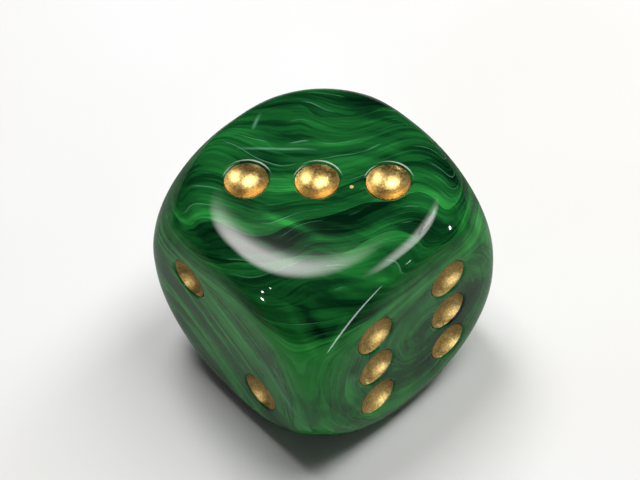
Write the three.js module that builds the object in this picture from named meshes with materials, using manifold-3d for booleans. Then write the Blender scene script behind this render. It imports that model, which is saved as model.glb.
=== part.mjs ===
// A large round-cornered gaming die of marbled green resin, with a gold paint fill in each of its 21 pips.
// Millimetres, +Z up, origin at the die's centre. It rests on its four, and shows three on top,
// two at the front (-Y) and six on the right (+X). Opposite faces add up to seven.

import * as THREE from "three";
import { ConvexGeometry } from "three/addons/geometries/ConvexGeometry.js";
import { mergeVertices } from "three/addons/utils/BufferGeometryUtils.js";
import Module from "manifold-3d";

// Driving dimensions of the body.
const SIZE = 30; // across two opposite faces
const EDGE_REACH = 5.5; // how far the rounding of the edges reaches in from each side
const EDGE_POWER = 3; // 2 rounds the edges in a plain arc, and more starts softer and turns tighter
const CORNER_REACH = 19.96; // from the die's centre to the tip of each corner

// Driving dimensions of the pips.
const PIP_PITCH = 5.5; // from the middle of a face to a row or column of pips
const SIX_PITCH = 6.1; // between neighbours in the two columns of the six
const RIM_RADIUS = 2.9; // where a dimple's rounded lip meets the flat face
const LIP_RADIUS = 0.5; // rounding of the lip
const DIMPLE_DEPTH = 1.5; // moulded depth, before the paint goes in
const PAINT_MIDDLE = 0.24; // thickness of the gold in the middle, where it pooled
const PAINT_EDGE = 0.08; // thickness of the gold at its edge
const PAINT_GAP = 0.03; // clearance between the gold and the bowl that it lies in

// Fineness of the faceted surfaces.
const ROUND_STEPS = 32; // facets round a flat face
const BLEND_STEPS = 6; // facets from a flat face's edge to the middle of the blend
const BLEND_EASE = 1.5; // makes the first of those facets finer, from 1 for even steps of the normal
const PIP_STEPS = 24; // facets round a pip
const BOWL_STEPS = 4; // facets from the middle of a bowl to its lip
const LIP_STEPS = 2; // facets over the lip
const WELD = 1e-4; // vertices nearer than this are one vertex

const RESIN = { color: 0x14692b, roughness: 0.08, metalness: 0 };
const GOLD = { color: 0xc79a3e, roughness: 0.38, metalness: 0.9 };

const wasm = await Module();
wasm.setup();

// The core is a cube cut by a ball. The body is the core with the rounding swept all over it. The rounding is
// the closed surface |x|^EDGE_POWER + |y|^EDGE_POWER + |z|^EDGE_POWER = EDGE_REACH^EDGE_POWER.
const DUAL_POWER = EDGE_POWER / (EDGE_POWER - 1);
const CORE_HALF = SIZE / 2 - EDGE_REACH;
const CORE_BALL = CORNER_REACH - EDGE_REACH * 3 ** (1 / DUAL_POWER - 1 / 2);

// The core's furthest point towards a direction: the direction scaled up until it meets the ball,
// with each coordinate that passes the cube held at the cube.
function corePoint(direction) {
  const sizes = direction.toArray().map(Math.abs);
  let held = [];
  let scale = CORE_BALL;
  for (;;) {
    const over = [0, 1, 2].filter((i) => !held.includes(i) && scale * sizes[i] > CORE_HALF);
    if (!over.length) break;
    held = [...held, ...over];
    const left = CORE_BALL ** 2 - held.length * CORE_HALF ** 2;
    const free = [0, 1, 2].reduce((sum, i) => (held.includes(i) ? sum : sum + sizes[i] ** 2), 0);
    scale = Math.sqrt(left / free);
  }
  const reach = sizes.map((size, i) => (held.includes(i) ? CORE_HALF : scale * size));
  const signs = direction.toArray().map(Math.sign);
  return new THREE.Vector3(...reach).multiply(new THREE.Vector3(...signs));
}

// The rounding's own surface point whose outward normal is the given direction.
function roundingPoint(normal) {
  const sizes = normal.toArray().map(Math.abs);
  const length = sizes.reduce((sum, size) => sum + size ** DUAL_POWER, 0) ** (1 / DUAL_POWER);
  const reach = sizes.map((size) => EDGE_REACH * (size / length) ** (DUAL_POWER - 1));
  const signs = normal.toArray().map(Math.sign);
  return new THREE.Vector3(...reach).multiply(new THREE.Vector3(...signs));
}

// The body's surface point whose outward normal is the given direction.
function surfacePoint(normal) {
  return corePoint(normal).add(roundingPoint(normal));
}

// The angle of a step round a face. The steps are finer next to the face's own axes, where the rounding
// moves furthest for a small turn of the normal.
function stepAngle(step) {
  const quarters = (4 * step) / ROUND_STEPS;
  const off = quarters - Math.round(quarters);
  return (Math.PI / 2) * (Math.round(quarters) + 2 * off * Math.abs(off));
}

// How far the normal has to lean from a face's own direction to be half way to the neighbouring faces,
// when it leans towards the given angle round the face.
function leanToNeighbour(angle) {
  const fromAxis = Math.abs(((angle + Math.PI / 4) % (Math.PI / 2)) - Math.PI / 4);
  return Math.atan(1 / Math.cos(fromAxis));
}

// Columns and rows of the places that a pip can have on a face, from the face's middle.
const UPPER_LEFT = { upper_left: [-1, 1] };
const UPPER_RIGHT = { upper_right: [1, 1] };
const LOWER_LEFT = { lower_left: [-1, -1] };
const LOWER_RIGHT = { lower_right: [1, -1] };
const CENTRE = { centre: [0, 0] };
const MIDDLE_PAIR = { middle_left: [-1, 0], middle_right: [1, 0] };
const CORNERS = { ...UPPER_LEFT, ...UPPER_RIGHT, ...LOWER_LEFT, ...LOWER_RIGHT };

// Each face has a group whose +Z points out of the face, with its +X to the right and its +Y up
// for someone who looks at the face.
const FACES = [
  { value: "three", turn: [0, 0, 0], pips: { ...LOWER_LEFT, ...CENTRE, ...UPPER_RIGHT } },
  { value: "four", turn: [Math.PI, 0, 0], pips: CORNERS },
  { value: "two", turn: sideTurn(0), pips: { ...UPPER_LEFT, ...LOWER_RIGHT } },
  { value: "six", turn: sideTurn(1), pips: { ...CORNERS, ...MIDDLE_PAIR }, rowPitch: SIX_PITCH },
  { value: "five", turn: sideTurn(2), pips: { ...CORNERS, ...CENTRE } },
  { value: "one", turn: sideTurn(3), pips: CENTRE },
];

// A side face: tipped up from the top, then turned by quarters round the die, starting from the front.
function sideTurn(quarters) {
  return [Math.PI / 2, 0, (quarters * Math.PI) / 2];
}

function faceGroup({ value, turn }) {
  const group = new THREE.Group();
  group.name = `face_${value}`;
  group.rotation.set(...turn, "ZYX");
  return group;
}

// The rounded cube, before its pips are moulded in: the hull of rings of surface points round each face.
function roundedCube() {
  const points = [];
  for (const face of FACES) {
    const toBody = new THREE.Matrix4().makeRotationFromEuler(new THREE.Euler(...face.turn, "ZYX"));
    for (let i = 0; i < ROUND_STEPS; i++) {
      const angle = stepAngle(i);
      for (let j = 0; j <= BLEND_STEPS; j++) {
        const lean = leanToNeighbour(angle) * (j / BLEND_STEPS) ** BLEND_EASE;
        const point = j ? surfacePoint(leaning(angle, lean)) : flatEdgePoint(angle);
        points.push(point.applyMatrix4(toBody));
      }
    }
  }
  return new ConvexGeometry(points);
}

// The direction that leans from a face's own +Z by one angle, towards another angle round the face.
function leaning(angle, lean) {
  const outwards = new THREE.Vector3(Math.cos(angle), Math.sin(angle), 0);
  return outwards.multiplyScalar(Math.sin(lean)).setZ(Math.cos(lean));
}

// A point on the round edge of a face's flat middle, in the face's own frame.
function flatEdgePoint(angle) {
  const flatRadius = Math.sqrt(CORE_BALL ** 2 - CORE_HALF ** 2);
  return new THREE.Vector3(flatRadius * Math.cos(angle), flatRadius * Math.sin(angle), SIZE / 2);
}

// A dimple's bowl is part of a ball, and its lip is a small round that runs off into the flat face.
const BOWL_RADIUS = (RIM_RADIUS ** 2 + DIMPLE_DEPTH ** 2) / (2 * DIMPLE_DEPTH) - LIP_RADIUS;
const BOWL_CENTRE = BOWL_RADIUS - DIMPLE_DEPTH; // height of the ball's centre over the face
const BOWL_ANGLE = Math.asin(RIM_RADIUS / (BOWL_RADIUS + LIP_RADIUS)); // where bowl and lip meet

// Points of a bowl-shaped arc about a centre on the axis, from the axis out to an angle.
function bowlArc(radius, centre, angle, steps) {
  const arc = [];
  for (let i = 0; i <= steps; i++) {
    const a = (angle * i) / steps;
    arc.push(new THREE.Vector2(i ? radius * Math.sin(a) : 0, centre - radius * Math.cos(a)));
  }
  return arc;
}

// What the mould's pin leaves empty: the bowl, the lip, and the pin itself over the face.
function dimpleCutter() {
  const pinLength = 1;
  const profile = bowlArc(BOWL_RADIUS, BOWL_CENTRE, BOWL_ANGLE, BOWL_STEPS);
  for (let i = 1; i <= LIP_STEPS; i++) {
    const a = BOWL_ANGLE * (1 - i / LIP_STEPS);
    profile.push(new THREE.Vector2(RIM_RADIUS - LIP_RADIUS * Math.sin(a), LIP_RADIUS * (Math.cos(a) - 1)));
  }
  profile.push(new THREE.Vector2(RIM_RADIUS, pinLength));
  profile.push(new THREE.Vector2(0, pinLength));
  return latheUp(profile);
}

// The gold: thick in the middle and thin at the edge, with a concave top.
function goldFill() {
  const underside = bowlArc(BOWL_RADIUS - PAINT_GAP, BOWL_CENTRE, BOWL_ANGLE, BOWL_STEPS);
  const rimReach = BOWL_RADIUS - PAINT_GAP - PAINT_EDGE;
  const rimRadius = rimReach * Math.sin(BOWL_ANGLE);
  const rimHeight = BOWL_CENTRE - rimReach * Math.cos(BOWL_ANGLE);
  const middleHeight = PAINT_GAP + PAINT_MIDDLE - DIMPLE_DEPTH;
  const rise = rimHeight - middleHeight;
  const topRadius = (rimRadius ** 2 + rise ** 2) / (2 * rise);
  const topAngle = Math.asin(rimRadius / topRadius);
  const top = bowlArc(topRadius, middleHeight + topRadius, topAngle, BOWL_STEPS - 1);
  return latheUp([...underside, ...top.reverse()]);
}

// A profile of radius and height, turned round +Z.
function latheUp(profile) {
  return new THREE.LatheGeometry(profile, PIP_STEPS).rotateX(Math.PI / 2);
}

function solidFrom(geometry) {
  const bare = geometry.clone();
  bare.deleteAttribute("normal");
  bare.deleteAttribute("uv");
  const merged = mergeVertices(bare, WELD);
  const vertProperties = new Float32Array(merged.attributes.position.array);
  const triVerts = new Uint32Array(merged.index.array);
  return new wasm.Manifold(new wasm.Mesh({ numProp: 3, vertProperties, triVerts }));
}

function geometryFrom(solid) {
  const mesh = solid.getMesh();
  const geometry = new THREE.BufferGeometry();
  geometry.setAttribute("position", new THREE.BufferAttribute(mesh.vertProperties, mesh.numProp));
  geometry.setIndex(new THREE.BufferAttribute(mesh.triVerts, 1));
  geometry.computeVertexNormals();
  return geometry;
}

function pipMesh(name, geometry, [column, row], rowPitch = PIP_PITCH) {
  const pip = new THREE.Mesh(geometry, new THREE.MeshStandardMaterial(GOLD));
  pip.name = name;
  pip.position.set(column * PIP_PITCH, row * rowPitch, SIZE / 2);
  return pip;
}

function dieBody(pips) {
  const cutter = dimpleCutter();
  let body = solidFrom(roundedCube());
  for (const pip of pips) {
    body = body.subtract(solidFrom(cutter.clone().applyMatrix4(pip.matrixWorld)));
  }
  const mesh = new THREE.Mesh(geometryFrom(body), new THREE.MeshStandardMaterial(RESIN));
  mesh.name = "die_body";
  return mesh;
}

const die = new THREE.Group();
const pips = [];
const fill = goldFill();
for (const face of FACES) {
  const group = faceGroup(face);
  for (const [place, cell] of Object.entries(face.pips)) {
    const pip = pipMesh(`pip_${face.value}_${place}`, fill, cell, face.rowPitch);
    group.add(pip);
    pips.push(pip);
  }
  die.add(group);
}
die.updateMatrixWorld(true);
die.add(dieBody(pips));

export default die;
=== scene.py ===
"""A round-cornered die of marbled green resin, with gold paint in its dimples, on a pale table.

Lengths are in metres, in the frame of the CAD model: origin at the die's centre, +Z up, three on top,
two on the face towards -Y and six on the face towards +X.
"""

import math

import bpy
import numpy as np
from mathutils import Matrix, Vector, geometry


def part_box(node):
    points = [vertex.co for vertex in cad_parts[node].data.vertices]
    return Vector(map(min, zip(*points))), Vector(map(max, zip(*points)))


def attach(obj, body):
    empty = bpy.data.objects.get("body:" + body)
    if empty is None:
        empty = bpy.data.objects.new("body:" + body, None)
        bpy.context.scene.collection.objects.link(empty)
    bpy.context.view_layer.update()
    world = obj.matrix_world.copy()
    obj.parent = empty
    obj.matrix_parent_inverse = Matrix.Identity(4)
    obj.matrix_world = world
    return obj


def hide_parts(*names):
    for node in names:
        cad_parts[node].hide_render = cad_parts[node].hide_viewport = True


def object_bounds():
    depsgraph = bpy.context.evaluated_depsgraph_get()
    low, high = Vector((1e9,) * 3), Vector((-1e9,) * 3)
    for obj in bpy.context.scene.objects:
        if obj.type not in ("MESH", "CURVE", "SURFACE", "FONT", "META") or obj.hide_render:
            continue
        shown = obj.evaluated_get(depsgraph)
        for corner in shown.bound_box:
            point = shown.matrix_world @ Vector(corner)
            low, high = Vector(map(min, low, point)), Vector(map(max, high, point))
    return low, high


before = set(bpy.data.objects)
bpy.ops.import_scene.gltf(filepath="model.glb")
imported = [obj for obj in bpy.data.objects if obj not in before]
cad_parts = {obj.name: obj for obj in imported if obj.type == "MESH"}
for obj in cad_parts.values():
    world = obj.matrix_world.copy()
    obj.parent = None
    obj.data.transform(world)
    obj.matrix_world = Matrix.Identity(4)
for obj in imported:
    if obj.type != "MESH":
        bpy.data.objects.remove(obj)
cad_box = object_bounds()

MM = 0.001

# The body's shape: a core, which is a cube cut by a ball, with a rounding swept all over it. The rounding
# is the closed surface |x|**EDGE_POWER + |y|**EDGE_POWER + |z|**EDGE_POWER = EDGE_REACH**EDGE_POWER.
HALF_SIZE = (cad_box[1][0] - cad_box[0][0]) / 2
EDGE_REACH = 5.5 * MM
EDGE_POWER = 3
CORNER_REACH = 19.96 * MM  # from the die's centre to the tip of a corner
DUAL_POWER = EDGE_POWER / (EDGE_POWER - 1)

# The core: half the cube's side, the ball's radius, and the radius of the round flats where the two meet.
CORE_HALF = HALF_SIZE - EDGE_REACH
CORE_BALL = CORNER_REACH - EDGE_REACH * 3 ** (1 / DUAL_POWER - 1 / 2)
FLAT_RADIUS = math.sqrt(CORE_BALL**2 - CORE_HALF**2)

# The dimples' shape: a bowl that is part of a ball, with a rounded lip that runs off into the flat face.
RIM_RADIUS = 2.9 * MM
LIP_RADIUS = 0.5 * MM
DIMPLE_DEPTH = 1.5 * MM
BOWL_RADIUS = (RIM_RADIUS**2 + DIMPLE_DEPTH**2) / (2 * DIMPLE_DEPTH) - LIP_RADIUS
BOWL_CENTRE = BOWL_RADIUS - DIMPLE_DEPTH
BOWL_ANGLE = math.asin(RIM_RADIUS / (BOWL_RADIUS + LIP_RADIUS))

# The gold paint: the gap under it, and its thickness at the edge and in the middle.
PAINT_GAP = 0.03 * MM
PAINT_EDGE = 0.08 * MM
PAINT_MIDDLE = 0.24 * MM

# Fineness of the meshes.
ROUND_STEPS = 192
BLEND_STEPS = 28
BLEND_EASE = 1.6  # makes the rings next to a flat finer
PIP_STEPS = 72  # round a dimple, and round a disc of the stage
BOWL_STEPS = 12
LIP_STEPS = 5
PAINT_STEPS = 24
RIM_CLEAR = 1.04  # rim radii from a dimple's middle that the flat's own vertices stay off
RIM_INSIDE = 0.99  # rim radii from a dimple's middle within which a triangle is the dimple's
WELD = 0.001 * MM  # vertices that round to the same multiple of this become one
SAME_PLACE = 1e-9  # the flat's vertices nearer than this become one
NEARLY_NONE = 1e-12  # stands in for a zero that something is divided by
NORMAL_DIGITS = 12  # decimals that normals are rounded to, so that those next to nothing are nothing
EDGE_SEARCH = 0.3  # how far to each side the edge's nearest point is looked for, in radians
EDGE_SEARCH_STEPS = 40

# The faces of the die: the outward direction and the direction that is up on the face.
FACES = {
    "three": (Vector((0, 0, 1)), Vector((0, 1, 0))),
    "four": (Vector((0, 0, -1)), Vector((0, -1, 0))),
    "two": (Vector((0, -1, 0)), Vector((0, 0, 1))),
    "five": (Vector((0, 1, 0)), Vector((0, 0, 1))),
    "six": (Vector((1, 0, 0)), Vector((0, 0, 1))),
    "one": (Vector((-1, 0, 0)), Vector((0, 0, 1))),
}

# The resin's colours, from the darkest tone to the brightest, and the pale one of its folds and wisps.
RESIN_TONES = [
    (0.37, (0.001, 0.012, 0.004)),
    (0.435, (0.003, 0.038, 0.01)),
    (0.49, (0.007, 0.088, 0.018)),
    (0.55, (0.013, 0.155, 0.028)),
    (0.64, (0.03, 0.3, 0.05)),
    (0.76, (0.06, 0.48, 0.09)),
]
MINT = (0.15, 0.42, 0.25)
RESIN_ROUGHNESS = 0.04
RESIN_IOR = 1.5

# Where the resins were stirred, in millimetres: centre, axis, turns and reach.
STIRS = [
    ((4, -8, 15), (0, 0, 1), -0.08, 4.0),
    ((-7, 8, 15), (0, 0, 1), 0.14, 5.0),
    ((9, 9, 15), (0, 0, 1), 0.12, 5.0),
]

# How the resin wanders: waves per millimetre, and reach in millimetres.
WANDERS = [(0.05, 1.8), (0.15, 0.5)]
VEIL_WANDER = (0.09, 2.5)
LINE_WANDER = (0.2, 0.25)
NOISE_START = (31, 7, 3)  # moves the noise that they share off the die's centre

# Round layers, in millimetres: their centre, the layers per millimetre outwards, and the centre's own
# layer. Each later set also has the number of an axis and two places on it between which it takes over.
FIRST_LAYERS = ((-20, -8, -37), -0.6, 82.6)
LATER_LAYERS = [
    ((9, 2, 1), -1.0, 66.1, 0, 8.0, 14.0),
    ((-17, 14, -10), 1.0, 0.0, 2, 7.0, 14.0),
]

# Noises drawn out along the layers: waves per layer, waves per millimetre along them, detail and roughness.
CLOUDS = (0.22, 0.07, 1.5, 0.5)
STREAKS = (1.3, 0.07, 3.0, 0.6)
HAIRS = (5.0, 0.1, 1.0, 0.5)
SHEET_SHIFT = (0.2, 0.08, 1.0, 0.5)

# Folded sheets of resin: how many there are in a layer, and by how many of them a noise shifts them.
WIDE_SHEETS = 0.3
NARROW_SHEETS = 0.8
SHEET_SHIFT_REACH = 1.6
WIDE_SHIFT_WAVES = 0.09

# The pale folds at the edges of the narrow sheets: their share of a sheet, and the patches that have them.
FOLD_SHARE = 0.07
FOLD_PATCH_WAVES = 0.2
FOLD_PATCHES = [(0.5, 0.0), (0.62, 0.55)]

# A veil of stretched noise over it all: its three directions, in waves per millimetre, and its detail and
# roughness.
VEIL_AXES = ((0.05, 0.03, -0.02), (-0.3, 0.45, 0.1), (0.1, -0.05, 0.25))
VEIL_DETAIL = 4.0
VEIL_ROUGHNESS = 0.6

# What each pattern weighs in the resin's tone.
TONE_WEIGHTS = {
    "clouds": 0.33,
    "wide_sheets": 0.13,
    "narrow_sheets": 0.07,
    "streaks": 0.19,
    "hairs": 0.13,
    "veil": 0.2,
}

# Soft patches that make the resin lighter or darker, in millimetres: centre, reach each way, and how much
# lighter it is.
TONE_PATCHES = [
    ((0, 0, 17), (40, 40, 5), -0.035),
    ((-10, 4, 15), (5, 6, 5), -0.045),
    ((9, 12, 14), (6, 5, 5), -0.06),
    ((7, 0, 15), (4, 5, 4), -0.02),
    ((-11, -12, 13), (4, 4, 4), -0.04),
    ((12, -9, 14), (4, 6, 2.5), -0.03),
    ((-3, -15, 9), (13, 3, 4), 0.055),
    ((15, 2, 9), (3, 12, 4), 0.055),
    ((0, -15, -1), (13, 3, 9), 0.028),
    ((-5, 11, 14), (8, 5, 6), -0.055),
    ((13, -13, 8), (4, 4, 5), 0.045),
    ((15, -10, -2), (3, 5, 8), 0.04),
    ((15, 2, 0), (3, 5, 4), -0.04),
]

# Threads of resin, in millimetres: two ends, half width, and how much lighter each is.
BLADES = [
    ((-2.3, -7.9, 15), (6.5, -4.6, 15), 0.55, 0.13),
    ((2, -9.5, 15), (9, -5.6, 15), 0.8, 0.03),
    ((-1, -10.5, 15), (7, -9, 15), 0.4, 0.08),
    ((11.2, -8.6, 14), (14.5, -1.6, 13), 0.35, 0.14),
    ((13, -5.8, 13.5), (15, 7, 10.5), 0.35, 0.14),
    ((10, -11, 13.5), (15, 4.5, 11), 1.1, -0.12),
    ((-13.4, -12, 8.5), (-3, -14, 13.5), 0.35, 0.1),
    ((-8.5, -13, 12.6), (3, -14.7, 12.4), 0.35, 0.1),
    ((14.9, -2.8, 0.7), (15, 2.8, 3), 0.8, 0.08),
    ((-10, 9, 15), (4, 13, 14), 0.9, -0.04),
    ((5, -13.8, 13), (13, -13.8, 5.5), 0.7, 0.1),
    ((8, -12.3, 13.3), (14, -12.5, 7), 0.5, 0.1),
    ((9.5, -11.3, 13.3), (14.3, -11.5, 9), 0.6, -0.08),
    ((14, -8, 12), (13.8, -12.2, 7.5), 0.45, 0.1),
    ((-13, -15, 7), (5, -15, -5), 0.4, 0.12),
    ((-9, -15, 7), (10, -15, -6), 0.35, 0.13),
    ((-12, -15, 1.5), (3, -15, -9), 0.45, 0.1),
    ((-5, -15, 8.5), (13, -14.5, -3), 0.35, 0.13),
]

# Pale threads, in millimetres: two ends and half width.
WISPS = [
    ((-12.8, -6.5, 13.8), (-6.5, -0.2, 15), 0.16),
    ((-9.8, -3.4, 15), (-3, 3, 15), 0.15),
    ((-10.4, -0.4, 15), (-12, 2.4, 15), 0.18),
    ((8.6, -15, 3.4), (13, -13.8, -8), 0.4),
    ((6, -15, 3), (12.6, -14.7, -4), 0.35),
    ((12.9, -13.8, 6.6), (15, -8.2, 0.7), 0.5),
]
WISP_STRENGTH = 0.6

# A speck of gold paint in the resin beside the three, in millimetres.
FLECK = (3.3, 2.1, 15)
FLECK_RADIUS = 0.22
FLECK_COLOUR = (0.7, 0.45, 0.12)

# The colour mix node's sockets, whose names other sockets share: its share and two colours, and its result.
MIX_INPUTS = (0, 6, 7)
MIX_OUTPUT = 2

# The gold paint's look: fine grain, and broader pools where it lies thicker. Waves are per millimetre.
GRAIN_WAVES = 4.5
GRAIN_DETAIL = 3.0
GRAIN_ROUGHNESS = 0.8
GRAIN_SHARE = 0.75
GRAIN_HEIGHT = 0.018 * MM
POOLED_WAVES = 0.9
POOLED_DETAIL = 2.0
POOLED_SHARE = 0.25
GOLD_TONES = [(0.39, (0.4, 0.255, 0.08)), (0.5, (0.64, 0.43, 0.14)), (0.61, (0.88, 0.65, 0.26))]
GOLD_ROUGHNESSES = [(0.4, 0.31), (0.6, 0.4)]

# The table, and the darker sheet on it that only the die's gloss shows. The sheet's greys are by share of
# its radius.
TABLE_RADIUS = 3
TABLE_TONES = [(0.3, (0.79, 0.778, 0.758)), (0.7, (0.814, 0.814, 0.814))]
TABLE_WAVES = 0.02
TABLE_DETAIL = 2.0
TABLE_ROUGHNESS = 0.6
GLOSS_SHEET_RADIUS = 110 * MM
GLOSS_SHEET_RISE = 0.03 * MM
GLOSS_SHEET_GREYS = [(0.15, 0.3), (0.4, 0.13), (1.0, 0.05)]

# Two softboxes flat over the die. Each is there twice, as the shadows call for a plain rectangle and the
# reflections for a soft glow, to which the back one adds a core.
# Those that light the surfaces: middle and size as shares of CEILING, and radiance.
CEILING = 0.5  # the softboxes' height over the die's centre
WORKING_LIGHTS = {
    "main_softbox": ((-0.37, 0.07), (0.46, 0.4), 13.0),
    "back_softbox": ((0.16, 0.72), (0.36, 1.3), 8.2),
}
# Those that show in the gloss: middle and size as shares of CEILING, turn in degrees, and radiance.
SHINING_LIGHTS = {
    "main_shine": ((-0.42, 0.0), (0.94, 1.0), 0, 11.0),
    "back_shine": ((0.56, 0.8), (1.05, 1.6), 18, 8.0),
    "back_shine_core": ((0.38, 1.02), (0.44, 0.66), 8, 6.0),
}
GLOW_COLOUR = (1, 1, 0.97, 1)
GLOW_FALL = [(0.3, 1.0), (1.0, 0.0)]  # brightness by share of the radius

# Lamps round the die: azimuth and elevation in degrees, distance, size, radiance, and turn in degrees.
LAMPS = {
    "left_lamp": (2.1, 19.6, 0.5, (0.026, 0.022), 60.0, 0),
    "left_lamp_above": (0.7, 25.4, 0.5, (0.012, 0.012), 40.0, 0),
    "left_lamp_behind": (5.1, 31.4, 0.5, (0.012, 0.012), 30.0, 0),
    "right_lamp": (148.4, 5.8, 0.5, (0.018, 0.018), 40.0, 0),
    "middle_lamp": (114.3, 13.4, 0.5, (0.012, 0.012), 20.0, 0),
    "window": (76.4, 4.0, 0.085, (0.072, 0.0075), 7.0, 28.8),
}
LAMP_COLOUR = (0.85, 0.92, 1)
ROOM_COLOUR = (0.06, 0.06, 0.06, 1)

# Dim softboxes that light the gold alone: azimuths in degrees, then elevation in degrees and distance.
GOLD_FILL_AZIMUTHS = (0, 90, 180, 270)
GOLD_FILL_PLACE = (5, 0.5)
GOLD_FILL_SIZE = (0.6, 0.35)
GOLD_FILL_RADIANCE = 0.6

# The camera: azimuth and elevation in degrees and distance, the place that it looks at, and its lens.
CAMERA_PLACE = (51.3, 53.5, 225 * MM)
CAMERA_AIM = (-0.11 * MM, -0.14 * MM, 4.2 * MM)
CAMERA_ROLL = -4.35  # degrees
CAMERA_LENS = 109.7  # in millimetres, as is the sensor's width
CAMERA_SENSOR = 36
CAMERA_NEAREST = 10 * MM


def face_matrix(value):
    """Turns a face's own frame, with +Z out of the face and +Y up on it, into the die's frame."""
    out, up = FACES[value]
    return Matrix((up.cross(out), up, out)).transposed()


def pips_of(value):
    """The CAD paint nodes of a face, with their middles in the face's own frame."""
    to_face = face_matrix(value).transposed()
    found = {}
    for name in sorted(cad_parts):
        if name.startswith(f"pip_{value}_"):
            low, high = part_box(name)
            found[name] = (to_face @ ((low + high) / 2)).xy
    return found


# ---------------------------------------------------------------------------------------------- meshes


def core_points(normals):
    """The core's furthest points towards some directions, one per row."""
    sizes = np.abs(normals)
    held = CORE_BALL * sizes > CORE_HALF
    free = np.where(held, 0, sizes**2).sum(1)
    left = CORE_BALL**2 - held.sum(1) * CORE_HALF**2
    scale = np.sqrt(left / np.maximum(free, NEARLY_NONE))
    return np.sign(normals) * np.where(held, CORE_HALF, scale[:, None] * sizes)


def rounding_points(normals):
    """The rounding's own surface points with some directions as their normals, one per row."""
    sizes = np.abs(normals)
    length = (sizes**DUAL_POWER).sum(1, keepdims=True) ** (1 / DUAL_POWER)
    return EDGE_REACH * np.sign(normals) * (sizes / length) ** (DUAL_POWER - 1)


def rest_on_face(points):
    """Heights and normals of an undimpled face at some places, in the face's own frame.

    Past the flat's round edge the surface belongs to the rounding, swept from the edge's nearest point.
    """
    points = np.array(points)
    around = np.arctan2(points[:, 1], points[:, 0])
    low, high = around - EDGE_SEARCH, around + EDGE_SEARCH

    def off_edge(angles):
        return points - FLAT_RADIUS * np.stack([np.cos(angles), np.sin(angles)], 1)

    def distance(angles):
        return (np.abs(off_edge(angles)) ** EDGE_POWER).sum(1)

    for _ in range(EDGE_SEARCH_STEPS):
        a, b = low + (high - low) / 3, high - (high - low) / 3
        nearer = distance(a) < distance(b)
        low, high = np.where(nearer, low, a), np.where(nearer, b, high)
    off = off_edge(low)
    off[np.hypot(points[:, 0], points[:, 1]) <= FLAT_RADIUS] = 0
    rise = (EDGE_REACH**EDGE_POWER - (np.abs(off) ** EDGE_POWER).sum(1)) ** (1 / EDGE_POWER)
    steep = np.column_stack([off, rise])
    normals = np.sign(steep) * np.abs(steep / EDGE_REACH) ** (EDGE_POWER - 1)
    return CORE_HALF + rise, normals / np.linalg.norm(normals, axis=1, keepdims=True)


def lean_to_neighbour(angle):
    """How far a normal leans half way to the neighbouring faces, when it leans towards an angle."""
    quarter = math.pi / 2
    from_axis = abs((angle + quarter / 2) % quarter - quarter / 2)
    return math.atan(1 / math.cos(from_axis))


class Surface:
    """Collects a mesh's vertices with their exact normals, and its faces."""

    def __init__(self):
        self.points, self.normals, self.faces = [], [], []

    def add(self, points, normals):
        """Adds vertices, and gives their numbers."""
        start = len(self.points)
        self.points += [Vector(p) for p in points]
        self.normals += [Vector(n) for n in normals]
        return list(range(start, len(self.points)))

    def bridge(self, inner, outer):
        """Quads between two rings of vertices that run the same way round."""
        count = len(inner)
        for i in range(count):
            j = (i + 1) % count
            self.faces.append((inner[i], outer[i], outer[j], inner[j]))

    def fan(self, middle, ring):
        """Triangles from a vertex to a ring round it."""
        count = len(ring)
        for i in range(count):
            self.faces.append((middle, ring[i], ring[(i + 1) % count]))

    def join(self, other, turn):
        """Adds all of another surface, turned."""
        start = len(self.points)
        self.points += [turn @ p for p in other.points]
        self.normals += [turn @ n for n in other.normals]
        self.faces += [tuple(start + v for v in f) for f in other.faces]

    def to_object(self, name, material):
        """The surface as a piece, with vertices that lie in one place made one."""
        keys, index = {}, []
        for p in self.points:
            key = tuple(round(c / WELD) for c in p)
            index.append(keys.setdefault(key, len(keys)))
        first = {}
        for i, v in enumerate(index):
            first.setdefault(v, i)
        order = [first[v] for v in range(len(keys))]
        faces = [tuple(dict.fromkeys(index[v] for v in f)) for f in self.faces]
        mesh = bpy.data.meshes.new(name)
        mesh.from_pydata([self.points[i] for i in order], [], [f for f in faces if len(f) > 2])
        mesh.shade_smooth()
        mesh.normals_split_custom_set_from_vertices([self.normals[i].normalized() for i in order])
        mesh.materials.append(material)
        piece = bpy.data.objects.new(name, mesh)
        bpy.context.scene.collection.objects.link(piece)
        return piece


def blend_angles():
    """Angles round a face, finer next to its own axes, where the rounding moves furthest per turn."""
    quarters = np.arange(ROUND_STEPS) * 4 / ROUND_STEPS
    off = quarters - quarters.round()
    return (quarters.round() + 2 * off * np.abs(off)) * math.pi / 2


def turned_ring(radius, height, normal_out, normal_up):
    """The points and normals of a level circle about the face's own +Z."""
    points, normals = [], []
    for step in range(PIP_STEPS):
        angle = 2 * math.pi * step / PIP_STEPS
        cos, sin = math.cos(angle), math.sin(angle)
        points.append((radius * cos, radius * sin, height))
        normals.append((normal_out * cos, normal_out * sin, normal_up))
    return points, normals


def blend_rings():
    """Rings of points and normals from a flat's edge to half way to the neighbours, in the face's frame."""
    angles = blend_angles()
    leans = np.array([lean_to_neighbour(a) for a in angles])
    edge = [(FLAT_RADIUS * math.cos(a), FLAT_RADIUS * math.sin(a), HALF_SIZE) for a in angles]
    rings = [(np.array(edge), np.tile((0.0, 0.0, 1.0), (ROUND_STEPS, 1)))]
    for step in range(1, BLEND_STEPS + 1):
        lean = leans * (step / BLEND_STEPS) ** BLEND_EASE
        normals = np.stack([np.sin(lean) * np.cos(angles), np.sin(lean) * np.sin(angles), np.cos(lean)], 1)
        normals = normals.round(NORMAL_DIGITS)
        rings.append((core_points(normals) + rounding_points(normals), normals))
    return rings


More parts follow.
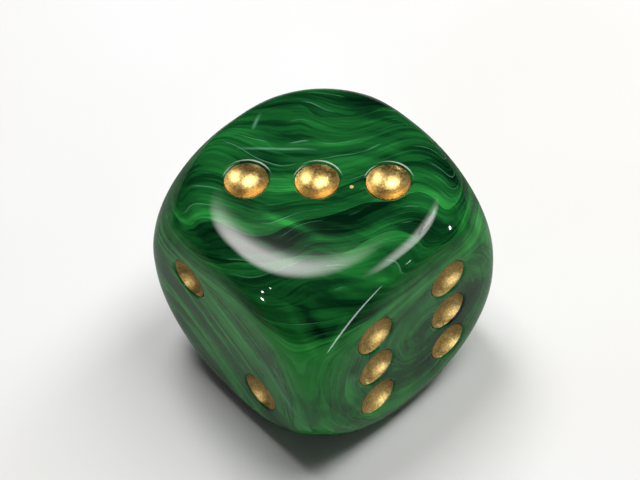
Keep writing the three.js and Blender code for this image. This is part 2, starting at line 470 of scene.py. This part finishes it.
def dimple():
    """One dimple with its rim at height 0, in the face's own frame. Its first ring is the rim."""
    surface = Surface()
    outer = surface.add(*turned_ring(RIM_RADIUS, 0, 0, 1))
    lip_leans = [BOWL_ANGLE * i / LIP_STEPS for i in range(1, LIP_STEPS)]
    bowl_leans = [BOWL_ANGLE * (1 - i / BOWL_STEPS) for i in range(BOWL_STEPS)]
    arcs = [(-LIP_RADIUS, RIM_RADIUS, -LIP_RADIUS, lean) for lean in lip_leans]
    arcs += [(BOWL_RADIUS, 0, BOWL_CENTRE, lean) for lean in bowl_leans]
    for radius, middle, centre, lean in arcs:
        sin, cos = math.sin(lean), math.cos(lean)
        inner = surface.add(*turned_ring(middle + radius * sin, centre - radius * cos, -sin, cos))
        surface.bridge(inner, outer)
        outer = inner
    bottom = surface.add([(0, 0, -DIMPLE_DEPTH)], [(0, 0, 1)])[0]
    surface.fan(bottom, outer)
    return surface


def laid_on_face(surface, centre):
    """A copy of a surface that is drawn about height 0, moved to a place on a face and laid against it."""
    laid = Surface()
    places = [p + Vector((*centre, 0)) for p in surface.points]
    heights, normals = rest_on_face([p.xy for p in places])
    for place, own, height, normal in zip(places, surface.normals, heights, normals):
        laid.points.append(place + Vector((0, 0, height)))
        laid.normals.append(own + own.z * Vector((normal[0] / normal[2], normal[1] / normal[2], 0)))
    laid.faces = list(surface.faces)
    return laid


def face_around_dimples(rings, dimples, holes):
    """The face out to the first ring past all its dimples, less the dimples, and that ring's number."""
    reach = max(centre.length for centre in holes) + RIM_RADIUS
    last = next(i for i, (points, _) in enumerate(rings) if np.hypot(*points[:, :2].T).min() > reach)
    surface = Surface()
    surface.add(*rings[last])
    loops = [list(range(ROUND_STEPS))]
    for one in dimples:
        loops.append(surface.add(one.points[:PIP_STEPS], one.normals[:PIP_STEPS]))
    for points, normals in rings[:last]:
        for point, normal in zip(points, normals):
            if all((Vector(point[:2]) - centre).length > RIM_RADIUS * RIM_CLEAR for centre in holes):
                surface.add([point], [normal])
    flat = [p.xy for p in surface.points]
    borders = [(a, b) for loop in loops for a, b in zip(loop, loop[1:] + loop[:1])]
    _, _, triangles, sources, _, _ = geometry.delaunay_2d_cdt(flat, borders, [], 0, SAME_PLACE)
    for triangle in triangles:
        corners = [sources[v][0] for v in triangle]
        middle = sum((flat[v] for v in corners), Vector((0, 0))) / 3
        in_dimple = any((middle - centre).length < RIM_RADIUS * RIM_INSIDE for centre in holes)
        on_rim = any(set(corners) <= set(loop) for loop in loops[1:])
        if not in_dimple and not on_rim:
            surface.faces.append(tuple(corners))
    return surface, last


def make_body(material):
    """The whole block: each face with its dimples, and its share of the rounding to its neighbours."""
    body = Surface()
    rings = blend_rings()
    for value in FACES:
        turn = face_matrix(value)
        holes = list(pips_of(value).values())
        dimples = [laid_on_face(dimple(), centre) for centre in holes]
        middle, last = face_around_dimples(rings, dimples, holes)
        for piece in [middle, *dimples]:
            body.join(piece, turn)
        edge = Surface()
        inner = edge.add(*rings[last])
        for ring in rings[last + 1 :]:
            outer = edge.add(*ring)
            edge.bridge(inner, outer)
            inner = outer
        body.join(edge, turn)
    return body.to_object("resin_body", material)


def paint_fill():
    """The gold in one dimple, thin at the edge and thick in the middle. Its face's plane is at height 0."""
    surface = Surface()
    under = BOWL_RADIUS - PAINT_GAP
    rim_reach = under - PAINT_EDGE
    rim_radius = rim_reach * math.sin(BOWL_ANGLE)
    rim_height = BOWL_CENTRE - rim_reach * math.cos(BOWL_ANGLE)
    middle_height = PAINT_GAP + PAINT_MIDDLE - DIMPLE_DEPTH
    rise = rim_height - middle_height
    top_radius = (rim_radius**2 + rise**2) / (2 * rise)
    top_angle = math.asin(rim_radius / top_radius)
    rim = surface.add(*turned_ring(rim_radius, rim_height, -math.sin(top_angle), math.cos(top_angle)))
    outer = rim
    for i in range(1, PAINT_STEPS):
        lean = top_angle * (1 - i / PAINT_STEPS)
        sin, cos = math.sin(lean), math.cos(lean)
        height = middle_height + top_radius * (1 - cos)
        inner = surface.add(*turned_ring(top_radius * sin, height, -sin, cos))
        surface.bridge(inner, outer)
        outer = inner
    surface.fan(surface.add([(0, 0, middle_height)], [(0, 0, 1)])[0], outer)
    outer = rim
    for i in range(BOWL_STEPS):
        lean = BOWL_ANGLE * (1 - i / BOWL_STEPS)
        sin, cos = math.sin(lean), math.cos(lean)
        inner = surface.add(*turned_ring(under * sin, BOWL_CENTRE - under * cos, sin, -cos))
        surface.bridge(outer, inner)
        outer = inner
    bottom = surface.add([(0, 0, PAINT_GAP - DIMPLE_DEPTH)], [(0, 0, -1)])[0]
    surface.fan(bottom, list(reversed(outer)))
    return surface


def make_pips(material):
    """The gold pieces, by the CAD nodes that they replace."""
    pieces = {}
    for value in FACES:
        for name, centre in pips_of(value).items():
            surface = Surface()
            surface.join(laid_on_face(paint_fill(), centre), face_matrix(value))
            pieces[name] = surface.to_object(name.replace("pip", "gold"), material)
    return pieces


# ------------------------------------------------------------------------------------------- materials


class Nodes:
    """A material's node tree, with short calls for the nodes that it needs."""

    def __init__(self, name):
        self.material = bpy.data.materials.new(name)
        self.material.use_nodes = True
        self.tree = self.material.node_tree
        self.tree.nodes.clear()
        self.output = self.tree.nodes.new("ShaderNodeOutputMaterial")

    def put(self, socket, value):
        """Links another node's output to a socket, or gives the socket a value of its own."""
        if isinstance(value, bpy.types.NodeSocket):
            self.tree.links.new(value, socket)
        else:
            socket.default_value = value

    def add(self, kind, inputs=None, output=0, **settings):
        node = self.tree.nodes.new(f"ShaderNode{kind}")
        for key, value in settings.items():
            setattr(node, key, value)
        for key, value in (inputs or {}).items():
            self.put(node.inputs[key], value)
        return node.outputs[output]

    def math(self, operation, a, b=0.0, c=0.0, clamp=False):
        return self.add("Math", {0: a, 1: b, 2: c}, operation=operation, use_clamp=clamp)

    def vector(self, operation, a, b=(0, 0, 0), output="Vector"):
        return self.add("VectorMath", {0: a, 1: b}, output, operation=operation)

    def scale(self, vector, factor):
        return self.add("VectorMath", {0: vector, "Scale": factor}, operation="SCALE")

    def bell(self, away):
        """1 where a number is 0, and next to nothing where it is past 2."""
        square = self.math("MULTIPLY", away, away)
        return self.math("EXPONENT", self.math("MULTIPLY", square, -1))

    def millimetres(self):
        """The place on the piece, in millimetres."""
        return self.scale(self.add("TexCoord", output="Object"), 1 / MM)

    def noise(self, place, waves, detail=1.0, roughness=0.5, output="Fac"):
        inputs = {"Vector": place, "Scale": waves, "Detail": detail, "Roughness": roughness}
        return self.add("TexNoise", inputs, output)

    def ramp(self, value, stops, mode="EASE"):
        """The grey or colour that a list of places and tones gives to a value."""
        node = self.tree.nodes.new("ShaderNodeValToRGB")
        node.color_ramp.interpolation = mode
        elements = node.color_ramp.elements
        while len(elements) < len(stops):
            elements.new(0.5)  # its place is set below
        for element, (place, tone) in zip(elements, stops):
            element.position = place
            element.color = (*tone, 1) if isinstance(tone, tuple) else (tone, tone, tone, 1)
        self.put(node.inputs[0], value)
        return node.outputs[0]

    def mix(self, share, colour, other):
        """A colour, with a share of another one in it."""
        node = self.tree.nodes.new("ShaderNodeMix")
        node.data_type = "RGBA"
        factor, first, second = (node.inputs[i] for i in MIX_INPUTS)
        self.put(factor, share)
        self.put(first, colour)
        self.put(second, (*other, 1))
        return node.outputs[MIX_OUTPUT]

    def finish(self, surface):
        self.put(self.output.inputs["Surface"], surface)
        return self.material


def swirled(nodes, place, centre, axis, turns, reach):
    """Stirs a place about an axis through a centre, by less the further off it is."""
    distance = nodes.vector("DISTANCE", place, centre, "Value")
    fall = nodes.bell(nodes.math("DIVIDE", distance, reach))
    angle = nodes.math("MULTIPLY", fall, turns * 2 * math.pi)
    return nodes.add("VectorRotate", {"Vector": place, "Center": centre, "Axis": axis, "Angle": angle})


def wandered(nodes, place, waves, reach):
    """Moves a place by a smooth noise, by up to the reach each way."""
    noise = nodes.noise(nodes.vector("ADD", place, NOISE_START), waves, output="Color")
    shift = nodes.vector("SUBTRACT", noise, (0.5, 0.5, 0.5))
    return nodes.vector("ADD", place, nodes.scale(shift, 2 * reach))


def unstirred(nodes, place):
    """Where the resin at a place would be if it hadn't been stirred."""
    for stir in STIRS:
        place = swirled(nodes, place, *stir)
    for wander in WANDERS:
        place = wandered(nodes, place, *wander)
    return place


def round_layers(nodes, place, centre, per_millimetre, start):
    """Which of a set of round layers a place is in."""
    distance = nodes.vector("DISTANCE", place, centre, "Value")
    return nodes.math("MULTIPLY_ADD", distance, per_millimetre, start)


def layer_of(nodes, place):
    """Which layer of resin a place is in. There are sets of round layers, which run into one another."""
    found = round_layers(nodes, place, *FIRST_LAYERS)
    for centre, per_millimetre, start, axis, first, last in LATER_LAYERS:
        level = round_layers(nodes, place, centre, per_millimetre, start)
        along = nodes.add("SeparateXYZ", {0: place}, axis)
        share = nodes.add("MapRange", {0: along, 1: first, 2: last}, interpolation_type="SMOOTHSTEP")
        found = nodes.math("MULTIPLY_ADD", nodes.math("SUBTRACT", level, found), share, found)
    return found


def streaked(nodes, place, layer, across, along, detail, roughness):
    """Noise drawn out along the layers."""
    x, y, z = (nodes.add("SeparateXYZ", {0: place}, i) for i in range(3))
    a = nodes.math("MULTIPLY", nodes.math("ADD", x, z), along)
    b = nodes.math("MULTIPLY", nodes.math("SUBTRACT", y, z), along)
    drawn = nodes.add("CombineXYZ", {0: nodes.math("MULTIPLY", layer, across), 1: a, 2: b})
    return nodes.noise(drawn, 1.0, detail, roughness)


def folded_sheets(nodes, layer, per_layer, shift):
    """Sheets of resin along the layers, each of which starts at a crisp edge and fades into another tone.

    Gives the tone at a place, and how far through its sheet the place is.
    """
    level = nodes.math("MULTIPLY_ADD", shift, SHEET_SHIFT_REACH, nodes.math("MULTIPLY", layer, per_layer))
    number = nodes.math("FLOOR", level)
    through = nodes.math("FRACT", level)
    first = nodes.add("TexWhiteNoise", {"W": number}, noise_dimensions="1D")
    other = nodes.math("ADD", number, 0.5)  # gives the sheet a second random tone
    last = nodes.add("TexWhiteNoise", {"W": other}, noise_dimensions="1D")
    change = nodes.math("SUBTRACT", last, first)
    return nodes.math("MULTIPLY_ADD", change, through, first), through


def veil_noise(nodes, still):
    """Noise stretched one way through the whole block."""
    place = wandered(nodes, still, *VEIL_WANDER)
    sides = [nodes.vector("DOT_PRODUCT", place, axis, "Value") for axis in VEIL_AXES]
    stretched = nodes.add("CombineXYZ", dict(enumerate(sides)))
    return nodes.noise(stretched, 1.0, VEIL_DETAIL, VEIL_ROUGHNESS)


def patch_share(nodes, place, centre, reach):
    """How much of a patch there is at a place: 1 at its centre, and about a third at its reach."""
    away = nodes.vector("SUBTRACT", place, centre)
    away = nodes.vector("DIVIDE", away, reach)
    square = nodes.vector("DOT_PRODUCT", away, away, "Value")
    return nodes.math("EXPONENT", nodes.math("MULTIPLY", square, -1))


def drawn_line(nodes, place, start, end, width):
    """How much of a thread of resin there is at a place: it runs between two places and tapers to both."""
    line = Vector(end) - Vector(start)
    off = nodes.vector("SUBTRACT", place, start)
    along = nodes.vector("DOT_PRODUCT", off, line, "Value")
    share = nodes.math("DIVIDE", along, line.length_squared, clamp=True)
    away = nodes.vector("DISTANCE", off, nodes.scale(line, share), "Value")
    near = nodes.bell(nodes.math("DIVIDE", away, width))
    rest = nodes.math("SUBTRACT", 1, share)
    taper = nodes.math("MULTIPLY", nodes.math("MULTIPLY", share, rest), 4)  # 1 in the middle of the line
    return nodes.math("MULTIPLY", near, taper)


def resin():
    """Dark and bright green resins stirred together, polished until they shine."""
    nodes = Nodes("marbled_resin")
    still = nodes.millimetres()
    bent = wandered(nodes, still, *LINE_WANDER)
    place = unstirred(nodes, still)
    layer = layer_of(nodes, place)
    wide_shift = nodes.noise(place, WIDE_SHIFT_WAVES)
    wide, _ = folded_sheets(nodes, layer, WIDE_SHEETS, wide_shift)
    narrow_shift = streaked(nodes, place, layer, *SHEET_SHIFT)
    narrow, through = folded_sheets(nodes, layer, NARROW_SHEETS, narrow_shift)
    patterns = {
        "clouds": streaked(nodes, place, layer, *CLOUDS),
        "wide_sheets": wide,
        "narrow_sheets": narrow,
        "streaks": streaked(nodes, place, layer, *STREAKS),
        "hairs": streaked(nodes, place, layer, *HAIRS),
        "veil": veil_noise(nodes, still),
    }
    tone = 0.0
    for name, pattern in patterns.items():
        tone = nodes.math("MULTIPLY_ADD", pattern, TONE_WEIGHTS[name], tone)
    # Soft patches raise or lower the tone: the whole top is made darker, and the sides' upper rounded edges
    # lighter.
    for centre, reach, lighter in TONE_PATCHES:
        tone = nodes.math("MULTIPLY_ADD", patch_share(nodes, still, centre, reach), lighter, tone)
    for start, end, width, lighter in BLADES:
        tone = nodes.math("MULTIPLY_ADD", drawn_line(nodes, bent, start, end, width), lighter, tone)
    colour = nodes.ramp(tone, RESIN_TONES)
    fold = nodes.math("SUBTRACT", 1.0, nodes.math("DIVIDE", through, FOLD_SHARE), clamp=True)
    patchy = nodes.ramp(nodes.noise(place, FOLD_PATCH_WAVES), FOLD_PATCHES)
    colour = nodes.mix(nodes.math("MULTIPLY", fold, patchy), colour, MINT)
    for wisp in WISPS:
        share = nodes.math("MULTIPLY", drawn_line(nodes, bent, *wisp), WISP_STRENGTH)
        colour = nodes.mix(share, colour, MINT)
    from_fleck = nodes.vector("DISTANCE", still, FLECK, "Value")
    colour = nodes.mix(nodes.math("LESS_THAN", from_fleck, FLECK_RADIUS), colour, FLECK_COLOUR)
    look = {"Base Color": colour, "Roughness": RESIN_ROUGHNESS, "IOR": RESIN_IOR}
    return nodes.finish(nodes.add("BsdfPrincipled", look))


def gold():
    """Metal-flake paint: coarse, brushed into the dimples."""
    nodes = Nodes("gold_paint")
    place = nodes.millimetres()
    grain = nodes.noise(place, GRAIN_WAVES, GRAIN_DETAIL, GRAIN_ROUGHNESS)
    pooled = nodes.noise(place, POOLED_WAVES, POOLED_DETAIL)
    tone = nodes.math("MULTIPLY_ADD", pooled, POOLED_SHARE, nodes.math("MULTIPLY", grain, GRAIN_SHARE))
    colour = nodes.ramp(tone, GOLD_TONES)
    roughness = nodes.ramp(grain, GOLD_ROUGHNESSES)
    bump = nodes.add("Bump", {"Height": grain, "Strength": 1.0, "Distance": GRAIN_HEIGHT})
    look = {"Base Color": colour, "Metallic": 1.0, "Roughness": roughness, "Normal": bump}
    return nodes.finish(nodes.add("BsdfPrincipled", look))


def table_top():
    nodes = Nodes("table_top")
    colour = nodes.ramp(nodes.noise(nodes.millimetres(), TABLE_WAVES, TABLE_DETAIL), TABLE_TONES)
    look = {"Base Color": colour, "Roughness": TABLE_ROUGHNESS}
    return nodes.finish(nodes.add("BsdfPrincipled", look))


def table_gloss():
    """The table as the die's gloss shows it, darker the further off it is."""
    nodes = Nodes("table_gloss")
    off = nodes.vector("LENGTH", nodes.millimetres(), output="Value")
    grey = nodes.ramp(nodes.math("DIVIDE", off, GLOSS_SHEET_RADIUS / MM), GLOSS_SHEET_GREYS, "LINEAR")
    look = {"Base Color": grey, "Roughness": TABLE_ROUGHNESS}
    return nodes.finish(nodes.add("BsdfPrincipled", look))


def soft_glow(name, radiance):
    """Brightest in the middle of a disc and nothing at its edge, and it hides nothing behind it."""
    nodes = Nodes(name)
    away = nodes.vector("LENGTH", nodes.add("TexCoord", output="Object"), output="Value")
    strength = nodes.math("MULTIPLY", nodes.ramp(away, GLOW_FALL), radiance)
    glow = nodes.add("Emission", {"Color": GLOW_COLOUR, "Strength": strength})
    return nodes.finish(nodes.add("AddShader", {0: glow, 1: nodes.add("BsdfTransparent")}))


# ----------------------------------------------------------------------------------------------- stage


def level_disc(name, radius, height, material):
    """A flat round sheet of the stage."""
    surface = Surface()
    ring = surface.add(*turned_ring(radius, height, 0, 1))
    surface.fan(surface.add([(0, 0, height)], [(0, 0, 1)])[0], ring)
    disc = surface.to_object(name, material)
    return disc


def make_table():
    """A wide pale table, and a darker sheet on it that shows in the die's gloss alone."""
    bottom = cad_box[0][2]
    table = level_disc("table", TABLE_RADIUS, bottom, table_top())
    table.visible_glossy = False
    sheet = level_disc("table_in_gloss", GLOSS_SHEET_RADIUS, bottom + GLOSS_SHEET_RISE, table_gloss())
    sheet.visible_camera = sheet.visible_diffuse = sheet.visible_shadow = False


def compass(azimuth, elevation, distance):
    """A place round the die: the azimuth in degrees is 0 in front of the two and 90 in front of the six."""
    a, e = math.radians(azimuth), math.radians(elevation)
    return distance * Vector((math.sin(a) * math.cos(e), -math.cos(a) * math.cos(e), math.sin(e)))


def look_from(place, aim, roll=0.0):
    """Sets something at a place with its -Z towards an aim and its +Y up, and rolls it by some degrees."""
    turn = (Vector(aim) - Vector(place)).to_track_quat("-Z", "Y").to_matrix()
    return Matrix.Translation(place) @ (turn @ Matrix.Rotation(math.radians(roll), 3, "Z")).to_4x4()


def area_light(name, matrix, size, radiance, shape, colour=(1, 1, 1)):
    light = bpy.data.lights.new(name, "AREA")
    light.shape = shape
    light.size, light.size_y = size
    light.energy = radiance * size[0] * size[1] * math.pi
    light.color = colour
    lamp = bpy.data.objects.new(name, light)
    lamp.matrix_world = matrix
    bpy.context.scene.collection.objects.link(lamp)
    return lamp


def working_light(name, middle, size, radiance):
    """A softbox flat over the die that lights the surfaces and doesn't show in their gloss."""
    matrix = Matrix.Translation(CEILING * Vector((*middle, 1)))
    lamp = area_light(name, matrix, [CEILING * s for s in size], radiance, "RECTANGLE")
    lamp.visible_glossy = False


def shining_light(name, middle, size, turn, radiance):
    """A softbox flat over the die, brightest in its middle, that shows in the gloss alone."""
    disc = level_disc(name, 1, 0, soft_glow(name, radiance))
    shape = Matrix.Diagonal((CEILING * size[0] / 2, CEILING * size[1] / 2, 1, 1))
    place = Matrix.Translation(CEILING * Vector((*middle, 1)))
    disc.matrix_world = place @ Matrix.Rotation(math.radians(turn), 4, "Z") @ shape
    disc.visible_camera = disc.visible_diffuse = disc.visible_shadow = disc.visible_transmission = False


def small_lamp(name, azimuth, elevation, distance, size, radiance, turn):
    """A lamp low over the table that faces the die and shows in its gloss alone."""
    matrix = look_from(compass(azimuth, elevation, distance), (0, 0, 0), turn)
    lamp = area_light(name, matrix, size, radiance, "ELLIPSE", LAMP_COLOUR)
    lamp.visible_diffuse = lamp.visible_camera = False


def gold_fill(azimuth, pieces):
    """A wide dim softbox low over the table that lights the gold alone, as the pale room round it does."""
    matrix = look_from(compass(azimuth, *GOLD_FILL_PLACE), (0, 0, 0))
    lamp = area_light(f"gold_fill_{azimuth}", matrix, GOLD_FILL_SIZE, GOLD_FILL_RADIANCE, "ELLIPSE")
    lamp.light_linking.receiver_collection = pieces


def make_room():
    """A dim grey room, which the gloss doesn't show."""
    world = bpy.data.worlds.new("dim_room")
    world.use_nodes = True
    world.node_tree.nodes["Background"].inputs["Color"].default_value = ROOM_COLOUR
    world.cycles_visibility.glossy = False
    bpy.context.scene.world = world


def make_lights():
    for name, light in WORKING_LIGHTS.items():
        working_light(name, *light)
    for name, light in SHINING_LIGHTS.items():
        shining_light(name, *light)
    for name, lamp in LAMPS.items():
        small_lamp(name, *lamp)


def make_camera():
    data = bpy.data.cameras.new("camera")
    data.lens = CAMERA_LENS
    data.sensor_width = CAMERA_SENSOR
    data.clip_start = CAMERA_NEAREST
    camera = bpy.data.objects.new("camera", data)
    camera.matrix_world = look_from(compass(*CAMERA_PLACE), CAMERA_AIM, CAMERA_ROLL)
    bpy.context.scene.collection.objects.link(camera)
    bpy.context.scene.camera = camera


# ------------------------------------------------------------------------------------------ everything

make_camera()
make_table()
make_lights()
make_room()
bpy.context.scene.view_settings.view_transform = "Standard"

body = make_body(resin())
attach(body, "root")
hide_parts("die_body")

gold_pieces = bpy.data.collections.new("gold_pieces")
for azimuth in GOLD_FILL_AZIMUTHS:
    gold_fill(azimuth, gold_pieces)
for node, piece in make_pips(gold()).items():
    gold_pieces.objects.link(piece)
    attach(piece, "root")
    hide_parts(node)
